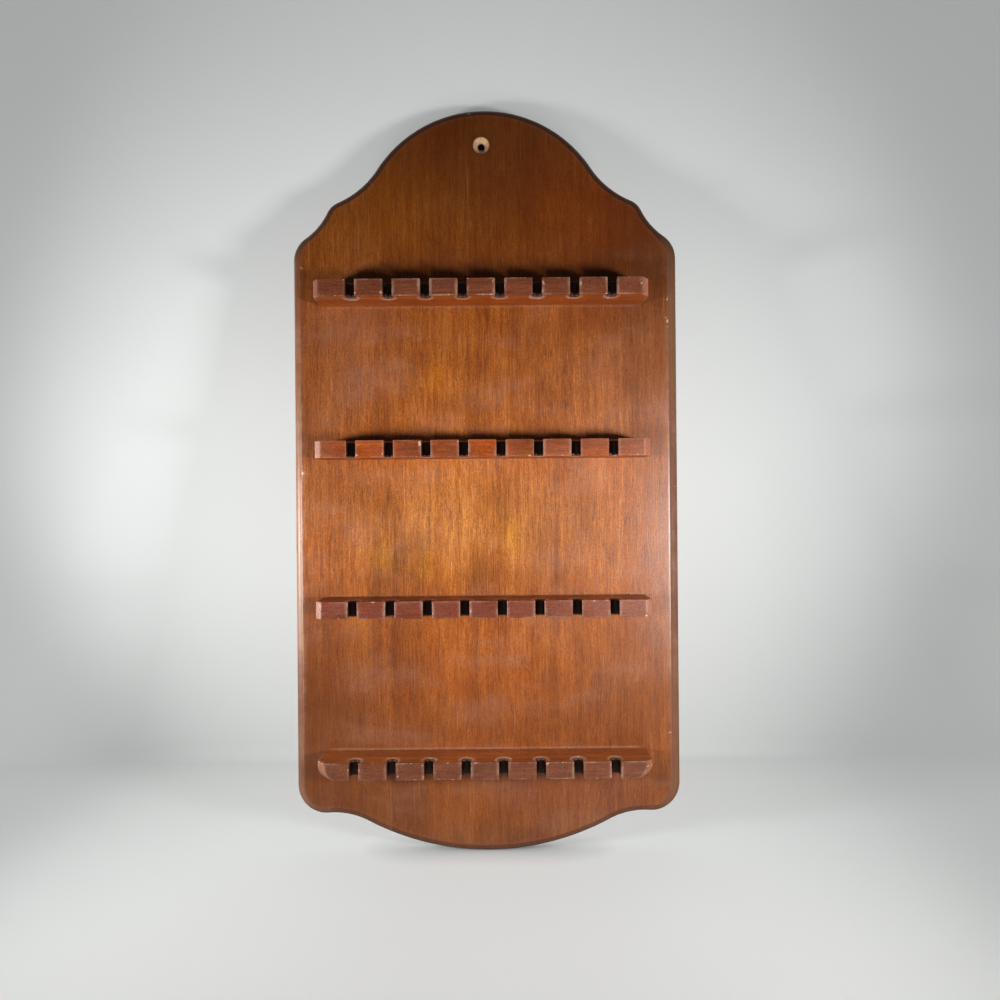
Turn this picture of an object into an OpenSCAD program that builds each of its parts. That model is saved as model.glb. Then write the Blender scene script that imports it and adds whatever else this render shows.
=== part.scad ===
// Wall-hung spoon rack: a shaped backboard with a moulded front edge and four notched rails,
// each rail drawn up from behind by two flat-head wood screws.
// X runs to the right, Y runs from the front towards the wall, and Z is up.
// The origin is the middle of the hanging hole on the back face, which lies on the wall.

/* [Backboard] */
// Width across the straight sides
board_w = 280; // [260:1:310]
// Thickness of the board
board_t = 12; // [9:0.5:18]
// Radius of the round-over along the front edge
edge_r = 4.6; // [2:0.1:6]
// Depth of the crisp step where the round-over meets the face
edge_step = 0.4; // [0.2:0.1:1]

/* [Crest] */
// Radius of the arch at the top
arch_r = 94; // [86:1:102]
// Height of the arch's centre above the shoulder's centre
arch_rise = 15; // [10:1:22]
// Radius of the long cove that runs down from the arch
crest_cove_r = 65; // [50:1:90]
// Distance of the upper corner's centre in from the side
knuckle_in = 39; // [35:1:43]
// Height of the upper corner's centre above the shoulder's centre
knuckle_up = 28; // [22:1:34]
// Radius of the upper corner
knuckle_r = 16; // [12:1:20]
// Radius of the small cove between the two corners
neck_cove_r = 49; // [30:1:70]
// Radius of the shoulder that runs into the straight side
shoulder_r = 20; // [14:1:26]

/* [Foot] */
// Radius of the bottom corners
corner_r = 21; // [15:1:27]
// Radius of the cove beside each bottom corner
foot_cove_r = 54; // [40:1:80]
// Radius of the long bottom curve
foot_r = 189; // [160:1:230]
// Depth of the bottom curve below the bottom corner's centre
foot_drop = 49; // [42:1:58]

/* [Hanging hole] */
// Distance of the hole below the top of the arch
hole_drop = 27; // [22:0.5:40]
// Sideways place of the hole from the board's middle
hole_shift = -1.8; // [-4:0.1:4]
// Diameter of the hole
hole_d = 4.2; // [3.6:0.1:6.5]
// Diameter of the hole's countersink on the front face
hole_sink_d = 12; // [9:0.5:14]
// Depth of the hole's countersink
hole_sink_depth = 3.7; // [2:0.1:6]

/* [Rails] */
// Height of each rail
rail_t = 12; // [10:0.5:16]
// Depth of each rail, from the board to its front face
rail_d = 26; // [22:0.5:34]
// Distance between the middles of neighbouring rails
rail_pitch = 111.7; // [95:0.1:130]
// Distance from the shoulder's centre down to the middle of the top rail
top_rail_drop = 28.7; // [20:0.1:40]
// Distance from the middle of the bottom rail down to the bottom corner's centre
bottom_rail_rise = 20.2; // [14:0.1:32]
// Distance from the board's side to the rail's end
rail_inset = 23; // [18:0.5:32]
// Sideways place of the rails from the board's middle
rail_shift = -2.2; // [-5:0.1:5]
// Size of the chamfer on the rail's front corners at its ends
rail_end_chamfer = 5; // [2:0.5:7]
// Radius of the eased long edges along the rail's front
rail_edge_r = 1; // [0.5:0.1:2]
// Radius of the bottom rail's lower corners
rail_corner_r = 9; // [4:0.5:10]

/* [Spoon slots] */
// Number of slots in each rail
slot_count = 8; // [6:1:9]
// Width of a slot
slot_w = 6.4; // [5:0.1:7.5]
// Distance from a rail's front face back to the middle of a slot's round end
slot_set_back = 5.2; // [3.5:0.1:7]
// Distance from the rail's end to the middle of its first slot
slot_end = 26; // [20:0.5:32]
// Diameter of the slot's countersink at the rail's upper and lower face
slot_sink_d = 11.4; // [8.5:0.1:13]
// Depth of the slot's countersink
slot_sink_depth = 1.2; // [0.8:0.1:2.5]

/* [Rail screws] */
// Diameter of the screw's shank
screw_d = 3.5; // [3:0.1:4.5]
// Diameter of the screw's flat head
screw_head_d = 7; // [6:0.1:8]
// Length of screw inside the rail
screw_reach = 18; // [14:0.5:20]
// Length of the screw's point
screw_point = 5; // [3:0.5:7]
// Depth of the head below the board's back face
screw_recess = 0.3; // [0.1:0.1:1]
// Width of the driver slot across the head
driver_slot_w = 1; // [0.8:0.1:1.4]
// Depth of the driver slot
driver_slot_depth = 1; // [0.6:0.1:1.3]
// Gap all round a screw in its holes
screw_gap = 0.1; // [0.05:0.05:0.2]

/* [Hidden] */
$fn = 96;
// Every cutter runs this far past the face that it opens
over = 1;
// Runs of the edge moulding that meet are cut this much deeper in turn, and lap by as much
pass_step = 0.04;
// A cove is cut this much larger than its arc, so that it always meets the curves beside it
cove_bite = 0.002;

board_colour = [0.56, 0.27, 0.11];
rail_colour = [0.60, 0.29, 0.16];
steel_colour = [0.70, 0.70, 0.72];

// Places on the board lying on its back: y upwards from the hanging hole
rail_count = 4;
half_w = board_w / 2;
arch_y = hole_drop - arch_r;
shoulder_y = arch_y - arch_rise;
top_rail_y = shoulder_y - top_rail_drop;
bottom_rail_y = top_rail_y - (rail_count - 1) * rail_pitch;
corner_y = bottom_rail_y - bottom_rail_rise;
foot_y = corner_y - foot_drop + foot_r;

// The board's middle line and the rails' middle line, from the hanging hole
board_x = -hole_shift;
rail_x = board_x + rail_shift;

// Slots are spread evenly, and a screw stands midway between the last two slots at each end
rail_l = board_w - 2 * rail_inset;
slot_pitch = (rail_l - 2 * slot_end) / (slot_count - 1);
screw_x = (slot_count / 2 - 1) * slot_pitch;
screw_head_h = (screw_head_d - screw_d) / 2;

// The outline of the right half is a chain of circles, each touching the next.
// Point where a circle touches its neighbour
function touch(c, r, other) = c + r * (other - c) / norm(other - c);

// Centre of a cove of radius r that touches two circles from outside, on the left of c1 to c2
function cove_centre(c1, r1, c2, r2, r) =
    let (
        d = norm(c2 - c1),
        along = ((r1 + r) ^ 2 - (r2 + r) ^ 2 + d ^ 2) / (2 * d),
        aside = sqrt((r1 + r) ^ 2 - along ^ 2),
        u = (c2 - c1) / d
    )
    c1 + along * u + aside * [-u[1], u[0]];

arch_c = [0, arch_y];
knuckle_c = [half_w - knuckle_in, shoulder_y + knuckle_up];
shoulder_c = [half_w - shoulder_r, shoulder_y];
corner_c = [half_w - corner_r, corner_y];
foot_c = [0, foot_y];
crest_cove_c = cove_centre(arch_c, arch_r, knuckle_c, knuckle_r, crest_cove_r);
neck_cove_c = cove_centre(knuckle_c, knuckle_r, shoulder_c, shoulder_r, neck_cove_r);
foot_cove_c = cove_centre(corner_c, corner_r, foot_c, foot_r, foot_cove_r);

// Ends of the arcs, in order from the arch down to the foot
arch_end = touch(arch_c, arch_r, crest_cove_c);
knuckle_start = touch(knuckle_c, knuckle_r, crest_cove_c);
knuckle_end = touch(knuckle_c, knuckle_r, neck_cove_c);
shoulder_start = touch(shoulder_c, shoulder_r, neck_cove_c);
side_top = [half_w, shoulder_y];
side_foot = [half_w, corner_y];
corner_end = touch(corner_c, corner_r, foot_cove_c);
foot_end = touch(foot_c, foot_r, foot_cove_c);

function flip(p) = [-p[0], p[1]];
function both_sides(points) = concat(points, [for (i = [len(points) - 1:-1:0]) flip(points[i])]);
// A point moved along the line from a centre through it
function beyond(p, c, by) = p + by * (p - c) / norm(p - c);

// Solid wood above the shoulders and below the bottom corners, up to a little past each cove's ends
crest_points = both_sides([
    arch_c,
    beyond(arch_end, arch_c, over),
    beyond(knuckle_start, knuckle_c, over),
    knuckle_c,
    beyond(knuckle_end, knuckle_c, over),
    beyond(shoulder_start, shoulder_c, over),
    shoulder_c,
    shoulder_c - [0, over]
]);
foot_points = both_sides([
    corner_c + [0, over],
    corner_c,
    beyond(corner_end, corner_c, over),
    beyond(foot_end, foot_c, over),
    beyond(foot_end, foot_c, -foot_drop / 2)
]);

// Arcs as [centre, radius, start, end], clockwise round the board
middle_arcs = [
    [arch_c, arch_r, flip(arch_end), arch_end],
    [foot_c, foot_r, foot_end, flip(foot_end)]
];
round_arcs = [
    [knuckle_c, knuckle_r, knuckle_start, knuckle_end],
    [shoulder_c, shoulder_r, shoulder_start, side_top],
    [corner_c, corner_r, side_foot, corner_end]
];
cove_arcs = [
    [crest_cove_c, crest_cove_r, arch_end, knuckle_start],
    [neck_cove_c, neck_cove_r, knuckle_end, shoulder_start],
    [foot_cove_c, foot_cove_r, corner_end, foot_end]
];

module both_halves() {
    children();
    mirror([1, 0, 0]) children();
}

module disc(c, r) {
    translate([c[0], c[1], 0]) cylinder(h = board_t, r = r);
}

// The sawn board before its edge is moulded, lying on its back
module board_blank() {
    foot_bottom = foot_y - foot_r;
    difference() {
        union() {
            translate([-half_w, corner_y, 0]) cube([board_w, shoulder_y - corner_y, board_t]);
            linear_extrude(board_t) polygon(crest_points);
            linear_extrude(board_t) polygon(foot_points);
            disc(arch_c, arch_r);
            both_halves() for (arc = round_arcs) disc(arc[0], arc[1]);
            intersection() {
                disc(foot_c, foot_r);
                translate([-corner_c[0], foot_bottom - over, 0])
                    cube([2 * corner_c[0], corner_y - foot_bottom + 2 * over, board_t]);
            }
        }
        both_halves() for (arc = cove_arcs)
            translate([arc[0][0], arc[0][1], -over])
                cylinder(h = board_t + 2 * over, r = arc[1] + cove_bite);
    }
}

// Section of what the moulding takes off: x inwards from the outline, y up from the front face
module edge_waste(deeper) {
    translate([deeper, -deeper]) difference() {
        translate([-over, -edge_step - edge_r]) square([edge_r + over, edge_step + edge_r + over]);
        translate([edge_r, -edge_step - edge_r]) circle(edge_r);
    }
}

// The waste swept along an arc, which has the wood inside it or, on a cove, outside it
module swept_waste(arc, cove = false) {
    c = arc[0];
    from = arc[2] - c;
    to = arc[3] - c;
    first = atan2(from[1], from[0]);
    last = atan2(to[1], to[0]);
    sweep = cove ? last - first : first - last;
    lap = cove ? pass_step / arc[1] * 180 / PI : 0;
    translate([c[0], c[1], board_t])
        rotate([0, 0, (cove ? first : last) - lap])
            rotate_extrude(angle = (sweep + 720) % 360 + 2 * lap)
                translate([arc[1], 0])
                    mirror([cove ? 0 : 1, 0]) edge_waste(cove ? 3 * pass_step : pass_step);
}

// The waste along a straight side
module side_waste() {
    translate([half_w, corner_y - pass_step, board_t])
        rotate([90, 0, 180])
            linear_extrude(shoulder_y - corner_y + 2 * pass_step) edge_waste(2 * pass_step);
}

// The board with its moulded edge; neighbouring runs of the moulding are cut in turn
module moulded_board() {
    difference() {
        difference() {
            difference() {
                board_blank();
                for (arc = middle_arcs) swept_waste(arc);
                both_halves() for (arc = round_arcs) swept_waste(arc);
            }
            both_halves() side_waste();
        }
        both_halves() for (arc = cove_arcs) swept_waste(arc, cove = true);
    }
}

// A hole for a wall screw, countersunk from the front
module hanging_hole() {
    translate([0, 0, -over]) cylinder(h = board_t + 2 * over, d = hole_d);
    translate([0, 0, board_t - hole_sink_depth])
        cylinder(h = hole_sink_depth, d1 = hole_d, d2 = hole_sink_d);
}

// Puts a shape at a rail's place: the middle of the rail's back, on the board's front face
module at_rail(row) {
    translate([rail_x, -board_t, top_rail_y - row * rail_pitch]) children();
}

module at_screws(row) {
    at_rail(row) for (side = [-1, 1]) translate([side * screw_x, 0, 0]) children();
}

// A screw along Y with its head at the wall side; grow turns it into the hole for itself
module screw_shape(grow = 0) {
    head_r = screw_head_d / 2 + grow;
    shank_r = screw_d / 2 + grow;
    head_y = screw_recess - board_t;
    rotate([90, 0, 0]) rotate_extrude() polygon([
        [0, head_y],
        [head_r, head_y],
        [shank_r, head_y + screw_head_h],
        [shank_r, screw_reach - screw_point],
        [0, screw_reach + grow]
    ]);
}

// A screw's hole, open at the board's back face
module screw_hole() {
    screw_shape(screw_gap);
    translate([0, board_t + over, 0])
        rotate([90, 0, 0]) cylinder(h = screw_recess + over, d = screw_head_d + 2 * screw_gap);
}

module backboard() {
    color(board_colour) difference() {
        rotate([90, 0, 0]) difference() {
            translate([board_x, 0, 0]) moulded_board();
            hanging_hole();
        }
        for (row = [0:rail_count - 1]) at_screws(row) screw_hole();
    }
}

// A rail seen from above, with its back on the board and its front corners chamfered
module rail_plan() {
    half_l = rail_l / 2;
    polygon([
        [-half_l, 0],
        [-half_l, rail_end_chamfer - rail_d],
        [rail_end_chamfer - half_l, -rail_d],
        [half_l - rail_end_chamfer, -rail_d],
        [half_l, rail_end_chamfer - rail_d],
        [half_l, 0]
    ]);
}

// A rail seen from its right end, with its long front edges eased
module rail_section() {
    half_t = rail_t / 2;
    core_d = rail_d - rail_edge_r;
    translate([-core_d, -half_t]) square([core_d, rail_t]);
    translate([-rail_d, rail_edge_r - half_t]) square([rail_d, rail_t - 2 * rail_edge_r]);
    for (up = [-1, 1]) translate([-core_d, up * (half_t - rail_edge_r)]) circle(rail_edge_r);
}

// A slot: a hole countersunk from the upper and lower face, then sawn open to the front
module spoon_slot() {
    cut_h = rail_t + 2 * over;
    cylinder(h = cut_h, d = slot_w, center = true);
    translate([-slot_w / 2, -slot_set_back - over, -cut_h / 2])
        cube([slot_w, slot_set_back + over, cut_h]);
    for (face = [0, 1])
        mirror([0, 0, face])
            translate([0, 0, rail_t / 2 - slot_sink_depth])
                cylinder(h = slot_sink_depth, d1 = slot_w, d2 = slot_sink_d);
}

// The bottom rail seen from the front, with its lower corners rounded off
module rounded_front() {
    corner_x = rail_l / 2 - rail_corner_r;
    corner_z = rail_corner_r - rail_t / 2;
    translate([-rail_l / 2, corner_z]) square([rail_l, rail_t]);
    translate([-corner_x, -rail_t / 2]) square([2 * corner_x, rail_t]);
    for (side = [-1, 1]) translate([side * corner_x, corner_z]) circle(rail_corner_r);
}

module rail_bar() {
    intersection() {
        translate([0, 0, -rail_t / 2]) linear_extrude(rail_t) rail_plan();
        translate([-rail_l / 2, 0, 0]) rotate([90, 0, 90]) linear_extrude(rail_l) rail_section();
    }
}

module rounded_bar() {
    intersection() {
        rail_bar();
        translate([0, over, 0]) rotate([90, 0, 0]) linear_extrude(rail_d + 2 * over) rounded_front();
    }
}

module rail(row) {
    first_slot = slot_end - rail_l / 2;
    color(rail_colour) difference() {
        at_rail(row) difference() {
            if (row < rail_count - 1) rail_bar();
            else rounded_bar();
            for (i = [0:slot_count - 1])
                translate([first_slot + i * slot_pitch, slot_set_back - rail_d, 0]) spoon_slot();
        }
        at_screws(row) screw_shape(screw_gap);
    }
}

module rail_screws(row) {
    color(steel_colour) at_screws(row) difference() {
        screw_shape();
        translate([0, board_t - screw_recess, 0])
            cube([screw_head_d + over, 2 * driver_slot_depth, driver_slot_w], center = true);
    }
}

module top_rail() { rail(0); }
module upper_rail() { rail(1); }
module lower_rail() { rail(2); }
module bottom_rail() { rail(3); }
module top_rail_screws() { rail_screws(0); }
module upper_rail_screws() { rail_screws(1); }
module lower_rail_screws() { rail_screws(2); }
module bottom_rail_screws() { rail_screws(3); }

backboard();
top_rail();
upper_rail();
lower_rail();
bottom_rail();
top_rail_screws();
upper_rail_screws();
lower_rail_screws();
bottom_rail_screws();
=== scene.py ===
# %% [markdown]
# # A wall rack for souvenir spoons
# The rack is a shaped backboard with a moulded front edge and four slotted rails, stained
# reddish brown and worn by years of use. The solid model is already measured and packed, so
# this lesson dresses it: each piece is made again with eased and nicked edges, then finished
# with wood materials mixed from noise. Everything stays in the solid model's own frame, in
# metres: X to the right, Y towards the wall, Z up, and zero at the hanging hole's back end.

import math

import bmesh
import bpy
import numpy as np
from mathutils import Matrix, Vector


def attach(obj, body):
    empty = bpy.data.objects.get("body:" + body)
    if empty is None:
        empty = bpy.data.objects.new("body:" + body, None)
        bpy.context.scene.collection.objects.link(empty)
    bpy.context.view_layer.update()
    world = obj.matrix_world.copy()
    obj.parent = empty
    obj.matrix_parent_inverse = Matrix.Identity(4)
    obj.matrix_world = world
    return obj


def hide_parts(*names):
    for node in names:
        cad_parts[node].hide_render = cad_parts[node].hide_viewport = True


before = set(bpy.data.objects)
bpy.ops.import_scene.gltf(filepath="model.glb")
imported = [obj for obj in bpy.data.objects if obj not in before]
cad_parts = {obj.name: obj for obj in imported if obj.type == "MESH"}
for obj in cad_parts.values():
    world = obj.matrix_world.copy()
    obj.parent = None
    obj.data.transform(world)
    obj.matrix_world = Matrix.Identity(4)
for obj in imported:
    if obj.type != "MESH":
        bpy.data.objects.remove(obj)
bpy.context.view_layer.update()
MM = 0.001

# %% [markdown]
# ## Camera
# The photograph was taken from straight in front, close to the rack, with a wide lens. That is
# why the top rail shows its underside and the lower ones their upper faces. The distance was
# found from how much the rails' front faces grow against the board. The rack leans half a
# degree to the left in the picture, so the camera is rolled by as much.

# %% Place the camera
CAMERA_PLACE = (0.0116, -0.5146, -0.2585)
CAMERA_ROLL = 0.489
SENSOR_WIDTH, FOCAL_LENGTH = 36.0, 24.84

scene = bpy.context.scene
lens = bpy.data.cameras.new("photo_camera")
lens.sensor_width = SENSOR_WIDTH
lens.lens = FOCAL_LENGTH
lens.clip_start = 0.01
camera = bpy.data.objects.new("photo_camera", lens)
scene.collection.objects.link(camera)
camera.location = CAMERA_PLACE
camera.rotation_euler = (math.radians(90), math.radians(CAMERA_ROLL), 0)
scene.camera = camera
scene.view_settings.view_transform = "Standard"
print("camera", tuple(round(v, 4) for v in camera.location))

# %% [markdown]
# ## Mixing a finish
# A wood finish is many thin layers: the stain, the grain, the pores, the rubbed edges. Written
# out node by node that is hard to read, so a small helper keeps one material and offers a short
# call for each kind of node. Any input may be a number, a colour or another node's output.

# %% Helpers for nodes
def feed(tree, socket, value):
    if isinstance(value, bpy.types.NodeSocket):
        tree.links.new(value, socket)
    elif isinstance(value, tuple) and socket.type == "RGBA":
        socket.default_value = (*value, 1.0)
    else:
        socket.default_value = value


def add_node(tree, kind, feeds, **settings):
    """Adds a node to a tree, sets its options and feeds its inputs by number or name."""
    node = tree.nodes.new(kind)
    for name, value in settings.items():
        setattr(node, name, value)
    for key, value in feeds.items():
        feed(tree, node.inputs[key], value)
    return node


# %% A helper for materials
class Finish:
    """One material in the making, with a short call for each node that it needs."""

    def __init__(self, name):
        self.material = bpy.data.materials.new(name)
        self.material.use_nodes = True
        self.tree = self.material.node_tree
        self.shader = self.tree.nodes["Principled BSDF"]
        self.place = self.node("TexCoord", {}).outputs["Object"]

    def node(self, kind, feeds, **settings):
        return add_node(self.tree, "ShaderNode" + kind, feeds, **settings)

    def set(self, name, value):
        feed(self.tree, self.shader.inputs[name], value)

    def math(self, way, a, b=0.0, clamp=False):
        return self.node("Math", {0: a, 1: b}, operation=way, use_clamp=clamp).outputs[0]

    def times(self, a, b):
        return self.math("MULTIPLY", a, b)

    def step(self, value, low, high, bottom=0.0, top=1.0):
        """A smooth step from bottom to top as value goes from low to high."""
        feeds = {0: value, 1: low, 2: high, 3: bottom, 4: top}
        return self.node("MapRange", feeds, interpolation_type="SMOOTHSTEP").outputs[0]

    def mix(self, share, a, b, way="MIX"):
        return self.node("Mix", {0: share, 6: a, 7: b}, data_type="RGBA", blend_type=way,
                         clamp_factor=True).outputs[2]

    def stretch(self, vector, scale, turn=(0.0, 0.0, 0.0), shift=(0.0, 0.0, 0.0)):
        turn = [math.radians(a) for a in turn]
        feeds = {"Vector": vector, "Location": shift, "Rotation": turn, "Scale": scale}
        return self.node("Mapping", feeds).outputs[0]

    def noise(self, vector, scale, detail=2.0, rough=0.5, out="Fac"):
        feeds = {"Vector": vector, "Scale": scale, "Detail": detail, "Roughness": rough}
        return self.node("TexNoise", feeds).outputs[out]

    def sway(self, vector, scale, amount):
        """The vector moved about by a slow noise, so that straight grain wanders a little."""
        wander = self.noise(vector, scale, 1.0, out="Color")
        feeds = {0: wander, 1: (amount, amount, amount), 2: vector}
        return self.node("VectorMath", feeds, operation="MULTIPLY_ADD").outputs[0]

    def axes(self, vector):
        return self.node("SeparateXYZ", {0: vector}).outputs

    def mark(self, name):
        """A value that the mesh carries on its points."""
        return self.node("Attribute", {}, attribute_name=name).outputs["Fac"]

    def ramp(self, value, stops):
        node = self.node("ValToRGB", {0: value})
        band = node.color_ramp
        while len(band.elements) < len(stops):
            band.elements.new(0.5)
        for element, (at, colour) in zip(band.elements, stops):
            element.position = at
            element.color = (*colour, 1.0)
        return node.outputs[0]

    def spot(self, at, reach):
        """A round patch, one in its middle and fading out; at and reach are x and z in metres."""
        scale = (1 / reach[0], 0.0, 1 / reach[1])
        flat = self.stretch(self.place, scale, shift=(-at[0] / reach[0], 0.0, -at[1] / reach[1]))
        far = self.node("VectorMath", {0: flat}, operation="LENGTH").outputs["Value"]
        return self.step(far, 0.0, 1.0, 1.0, 0.0)

    def bump(self, height, strength, distance):
        feeds = {"Strength": strength, "Distance": distance, "Height": height}
        self.set("Normal", self.node("Bump", feeds).outputs[0])


# %% [markdown]
# ## Backdrop and light
# The rack stood in front of a pale cloth with two soft lamps, one on each side at the height
# of its middle. The lamps are close to the board, which is why the top rail throws a shadow
# upwards and the crest stays darker than the middle. One bent sheet makes floor and backdrop.
# It glows a little where it is seen, and in the narrow gaps close to the rack the glow is dimmed
# by ambient occlusion as painted contact shade. It is clear from behind, so that the back of the
# rack can be looked at.

# %% Make the backdrop
FLOOR_Z, FLOOR_END_Y = -0.515, -2.5
WALL_Y, WALL_END_Z = 0.174, 2.0
WALL_TOP = (-0.050, 0.200)
BEND_R, BEND_STEPS = 0.012, 8
HALF_CLOTH = 6.0

section = [(FLOOR_END_Y, FLOOR_Z)]
for i in range(BEND_STEPS + 1):
    turn = math.radians(90 * i / BEND_STEPS)
    bend_y = WALL_Y - BEND_R + BEND_R * math.sin(turn)
    section.append((bend_y, FLOOR_Z + BEND_R - BEND_R * math.cos(turn)))
section += [WALL_TOP, (WALL_TOP[0], WALL_END_Z)]
sheet = bmesh.new()
left = [sheet.verts.new((-HALF_CLOTH, y, z)) for y, z in section]
right = [sheet.verts.new((HALF_CLOTH, y, z)) for y, z in section]
for i in range(len(section) - 1):
    sheet.faces.new((left[i], right[i], right[i + 1], left[i + 1])).smooth = True
cloth = bpy.data.meshes.new("backdrop")
sheet.to_mesh(cloth)
sheet.free()
backdrop = bpy.data.objects.new("backdrop", cloth)
scene.collection.objects.link(backdrop)
print("backdrop faces", len(cloth.polygons))

# %% Colour the backdrop
CLOTH_DARK, CLOTH_LIGHT = (0.535, 0.55, 0.54), (0.635, 0.65, 0.64)
GLOW = (0.94, 0.965, 0.955)
CONTACT_SHADE_REACH = 0.022

linen = Finish("pale_backdrop")
linen.set("Base Color", linen.mix(linen.noise(linen.place, 5.0), CLOTH_DARK, CLOTH_LIGHT))
linen.set("Roughness", 0.9)
path = linen.node("LightPath", {}).outputs
deep, high = linen.axes(linen.place)[1:]
on_wall = linen.step(high, FLOOR_Z + 0.005, FLOOR_Z + 0.02)
mirrored = linen.times(path["Is Glossy Ray"], on_wall)
seen = linen.math("MAXIMUM", path["Is Camera Ray"], mirrored)
# Painted contact shade: close to the rack the glow is dimmed by ambient occlusion.
contact_shade_ao = linen.node("AmbientOcclusion", {"Distance": CONTACT_SHADE_REACH}, samples=8).outputs["AO"]
close_by = linen.step(deep, 0.12, 0.06)
shade = linen.step(close_by, 0.0, 1.0, 1.0, contact_shade_ao)
fill = linen.times(linen.step(high, -0.52, 0.10, 0.40, 0.32), shade)
linen.set("Emission Color", GLOW)
linen.set("Emission Strength", linen.times(seen, fill))
behind = linen.times(linen.node("NewGeometry", {}).outputs["Backfacing"], path["Is Camera Ray"])
clear = linen.node("BsdfTransparent", {}).outputs[0]
one_sided = linen.node("MixShader", {0: behind, 1: linen.shader.outputs[0], 2: clear}).outputs[0]
feed(linen.tree, linen.tree.nodes["Material Output"].inputs["Surface"], one_sided)
cloth.materials.append(linen.material)
print("backdrop nodes", len(linen.tree.nodes))

# %% Hang the lamps
LAMP_AIM = (0.0, 0.0, -0.28)
LAMP_SIZE, LAMP_SPREAD = (0.14, 0.07), 95
# Each lamp is its name, its place and its watts
LAMPS = [("left_lamp", (-0.52, -0.28, -0.32), 0.88), ("right_lamp", (0.42, -0.38, -0.32), 0.86)]
SKY_LIGHT, SKY_SEEN = 0.05, 0.70

for name, place, watts in LAMPS:
    data = bpy.data.lights.new(name, "AREA")
    data.shape = "RECTANGLE"
    data.size, data.size_y = LAMP_SIZE
    data.spread = math.radians(LAMP_SPREAD)
    data.energy = watts
    lamp = bpy.data.objects.new(name, data)
    scene.collection.objects.link(lamp)
    lamp.visible_camera = False
    lamp.location = place
    away = Vector(place) - Vector(LAMP_AIM)
    lamp.rotation_euler = away.to_track_quat("Z", "Y").to_euler()
world = bpy.data.worlds.new("studio")
scene.world = world
world.use_nodes = True
air = world.node_tree
sky = air.nodes["Background"].inputs
in_view = add_node(air, "ShaderNodeLightPath", {}).outputs["Is Camera Ray"]
strength = add_node(air, "ShaderNodeMapRange", {
    "Value": in_view, "To Min": SKY_LIGHT, "To Max": SKY_SEEN}).outputs[0]
feed(air, sky["Color"], (1.0, 1.0, 1.0))
feed(air, sky["Strength"], strength)
print("lamps", [light.name for light in bpy.data.lights])

# %% [markdown]
# ## Worn edges
# A rack like this loses its varnish first where hands and spoons touch it: on the sharp edges.
# Painting pale dots on a perfect edge looks false, because a real nick also takes wood away.
# A Geometry Nodes tree does both at once. It reads how close each point is to an edge, cuts the
# points back where a noise is strong, and stores how deep it cut so that the wood material can
# show raw wood there.

# %% Helpers for Geometry Nodes
def number(tree, way, a, b):
    """The result of one sum in a tree."""
    return add_node(tree, "ShaderNodeMath", {0: a, 1: b}, operation=way).outputs[0]


def new_tree(name, sizes):
    """An empty tree with named number inputs, a finish input and a geometry output."""
    tree = bpy.data.node_groups.new(name, "GeometryNodeTree")
    tree.interface.new_socket("Geometry", in_out="INPUT", socket_type="NodeSocketGeometry")
    for label, value in sizes.items():
        socket = tree.interface.new_socket(label, in_out="INPUT", socket_type="NodeSocketFloat")
        socket.default_value = value
    tree.interface.new_socket("Finish", in_out="INPUT", socket_type="NodeSocketMaterial")
    tree.interface.new_socket("Geometry", in_out="OUTPUT", socket_type="NodeSocketGeometry")
    return tree, tree.nodes.new("NodeGroupInput").outputs


def end_tree(tree, geometry, finish):
    real = add_node(tree, "GeometryNodeRealizeInstances", {0: geometry}).outputs[0]
    done = add_node(tree, "GeometryNodeSetMaterial", {"Geometry": real, "Material": finish})
    tree.links.new(done.outputs[0], tree.nodes.new("NodeGroupOutput").inputs[0])


def run_tree(piece, tree, inputs):
    """Runs a tree on a piece and keeps the result as the piece's own plain mesh."""
    modifier = piece.modifiers.new(tree.name, "NODES")
    modifier.node_group = tree
    for item in tree.interface.items_tree:
        if item.in_out == "INPUT" and item.name in inputs:
            modifier[item.identifier] = inputs[item.name]
    bpy.context.view_layer.update()
    shaped = piece.evaluated_get(bpy.context.evaluated_depsgraph_get())
    result = bpy.data.meshes.new_from_object(shaped)
    piece.modifiers.remove(modifier)
    piece.data = result
    result.name = piece.name


# %% The tree that nicks an edge
# How high the noise must be for a nick when the share is nought, and how soft a nick's flank is
GRIT_TOP, NICK_FLANK = 0.75, 0.10

worn_edges, given = new_tree("worn_edges", {
    "Nick depth": 0.0006, "Nicks per metre": 150.0, "Nick share": 0.3, "Seed": 1.0})
arris = add_node(worn_edges, "GeometryNodeInputNamedAttribute", {"Name": "arris"}, data_type="FLOAT")
grit = add_node(worn_edges, "ShaderNodeTexNoise", {
    "W": given["Seed"], "Scale": given["Nicks per metre"], "Detail": 3.0, "Roughness": 0.6},
    noise_dimensions="4D")
least = number(worn_edges, "SUBTRACT", GRIT_TOP, given["Nick share"])
most = number(worn_edges, "ADD", least, NICK_FLANK)
nick = add_node(worn_edges, "ShaderNodeMapRange", {0: grit.outputs[0], 1: least, 2: most},
                interpolation_type="SMOOTHSTEP")
at_edge = number(worn_edges, "MULTIPLY", nick.outputs[0], arris.outputs[0])
inward = number(worn_edges, "MULTIPLY", given["Nick depth"], -1.0)
cut = number(worn_edges, "MULTIPLY", at_edge, inward)
facing = add_node(worn_edges, "GeometryNodeInputNormal", {})
shift = add_node(worn_edges, "ShaderNodeVectorMath", {0: facing.outputs[0], 3: cut}, operation="SCALE")
kept = add_node(worn_edges, "GeometryNodeStoreNamedAttribute", {
    "Geometry": given["Geometry"], "Name": "worn", "Value": at_edge}, data_type="FLOAT", domain="POINT")
moved = add_node(worn_edges, "GeometryNodeSetPosition", {
    "Geometry": kept.outputs[0], "Offset": shift.outputs[0]})
end_tree(worn_edges, moved.outputs[0], given["Finish"])
print("nodes in worn_edges", len(worn_edges.nodes))

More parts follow.
